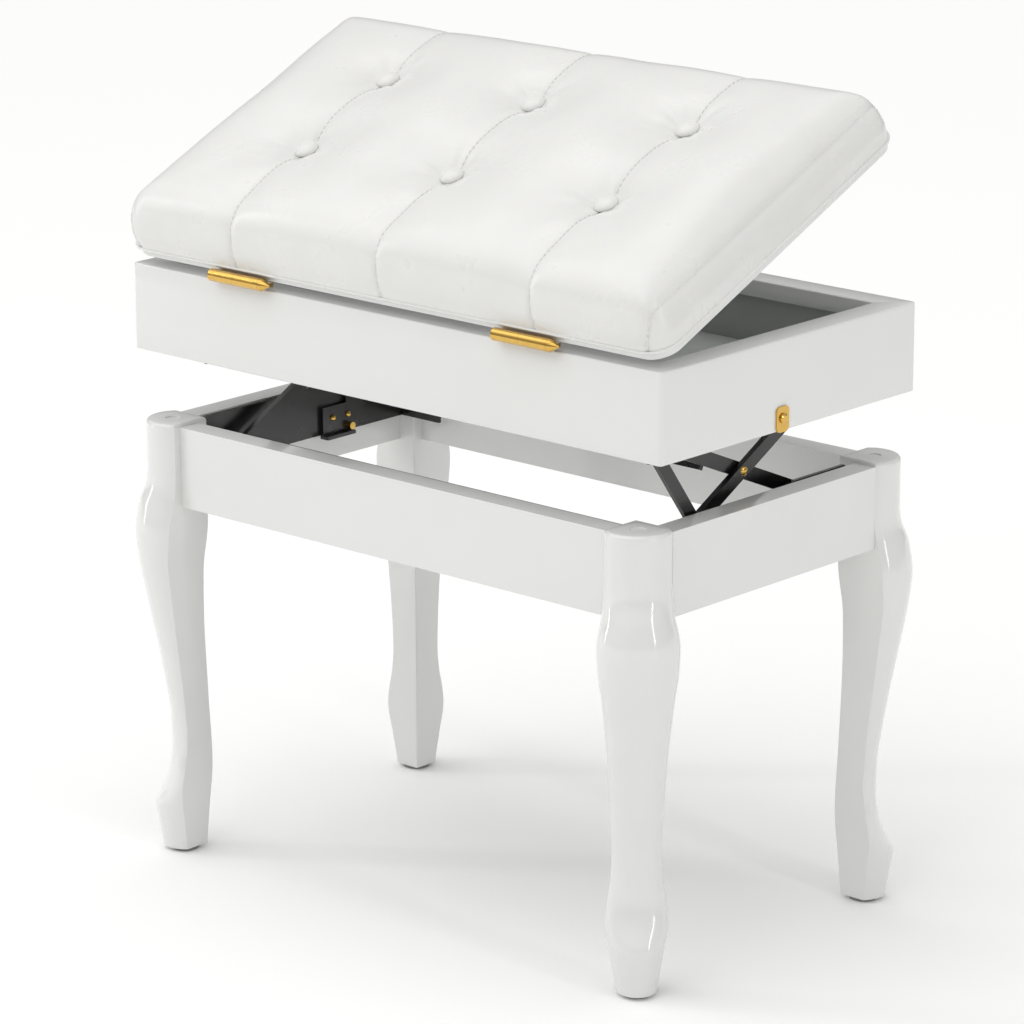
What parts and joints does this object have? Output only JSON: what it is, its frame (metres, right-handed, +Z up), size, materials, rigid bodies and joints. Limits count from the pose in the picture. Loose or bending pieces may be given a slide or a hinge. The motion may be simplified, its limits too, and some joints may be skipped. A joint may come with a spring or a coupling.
{
  "type": "adjustable piano bench",
  "caption": "Rectangular bench with curved legs, a storage box that rises on scissor arms, and a hinged buttoned cushion lid.",
  "frame": {"origin": "on the floor, at the middle of the bench's overall outline in plan", "axes": "+Z up; +X along the seat towards the end that has the catch; the lid's hinges are on the -Y side and it opens towards -Y"},
  "size_m": [0.5681, 0.3498, 0.6631],
  "materials": {
    "white_lacquer": "glossy white lacquer on wood",
    "beech": "plain beech",
    "nylon": "grey moulded nylon",
    "bumper_rubber": "soft clear-grey rubber",
    "bright_steel": "zinc-plated steel",
    "brass": "polished brass",
    "floor_board": "grey-coated thin board",
    "grey_felt": "short grey felt",
    "white_leather": "smooth white leather over foam",
    "black_steel": "gloss black paint on steel"
  },
  "bodies": {
    "base": {"leg_front_left": "white_lacquer", "leg_front_right": "white_lacquer", "leg_rear_left": "white_lacquer", "leg_rear_right": "white_lacquer", "apron_front": "white_lacquer", "apron_rear": "white_lacquer", "apron_left": "white_lacquer", "apron_right": "white_lacquer", "apron_dowels": "beech", "leg_top_plugs": "white_lacquer", "foot_glides": "nylon", "base_rail_left": "black_steel", "base_rail_right": "black_steel", "slide_guide_left": "black_steel", "slide_guide_right": "black_steel", "guide_screws": "brass", "base_rail_screws": "black_steel", "guide_studs": "brass"},
    "arms_a": {"pivot_shaft": "black_steel", "arm_a_left": "black_steel", "arm_a_right": "black_steel", "centre_rivets": "brass", "arm_a_slide_pins": "bright_steel"},
    "arms_b": {"arm_b_left": "black_steel", "arm_b_right": "black_steel", "tie_bar": "black_steel", "arm_b_slide_pins": "bright_steel", "arm_b_top_pins": "bright_steel"},
    "box": {"box_wall_front": "white_lacquer", "box_wall_rear": "white_lacquer", "box_wall_left": "white_lacquer", "box_wall_right": "white_lacquer", "box_floor": "floor_board", "box_lining": "grey_felt", "upper_rail_left": "black_steel", "upper_rail_right": "black_steel", "upper_rail_screws": "bright_steel", "stay_pivot": "brass", "hinge_box_left": "brass", "hinge_box_right": "brass", "hinge_pin_left": "brass", "hinge_pin_right": "brass", "hinge_screws_box": "brass", "catch_screw": "brass"},
    "stay": {"stay": "black_steel", "stay_foot_pin": "bright_steel"},
    "lid": {"hinge_lid_left": "brass", "hinge_lid_right": "brass", "hinge_screws_lid": "brass", "lid_board": "white_lacquer", "cushion": "white_leather", "buttons": "white_leather", "lid_bumpers": "bumper_rubber"},
    "catch": {"catch": "brass"}
  },
  "joints": [
    {"name": "seat_lift", "type": "slide", "parent": "base", "child": "box", "axis": [0, 0, 1], "range_m": [-0.0545, 0]},
    {"name": "arm_a_tilt", "type": "hinge", "parent": "base", "child": "arms_a", "pos_m": [0, -0.0758, 0.3415], "axis": [1, 0, 0], "range_deg": [-21.4, 0.05]},
    {"name": "arm_b_tilt", "type": "hinge", "parent": "arms_a", "child": "arms_b", "pos_m": [0, 0, 0.383], "axis": [1, 0, 0], "range_deg": [-0.05, 38.4]},
    {"name": "stay_tilt", "type": "hinge", "parent": "box", "child": "stay", "pos_m": [0.2409, -0.11042, 0.416], "axis": [1, 0, 0], "range_deg": [-0.05, 38.6]},
    {"name": "lid_hinge", "type": "hinge", "parent": "box", "child": "lid", "pos_m": [0, -0.15795, 0.5012], "axis": [1, 0, 0], "range_deg": [-24.5, 70.5]},
    {"name": "catch_turn", "type": "hinge", "parent": "box", "child": "catch", "pos_m": [0.28, -0.0125, 0.4353], "axis": [1, 0, 0], "range_deg": [-90, 90]}
  ],
  "couplings": [
    {"joint": "arm_a_tilt", "follows": "seat_lift", "rad_per_m": 6.8189},
    {"joint": "arm_b_tilt", "follows": "seat_lift", "rad_per_m": -12.232},
    {"joint": "stay_tilt", "follows": "seat_lift", "rad_per_m": -12.327}
  ]
}
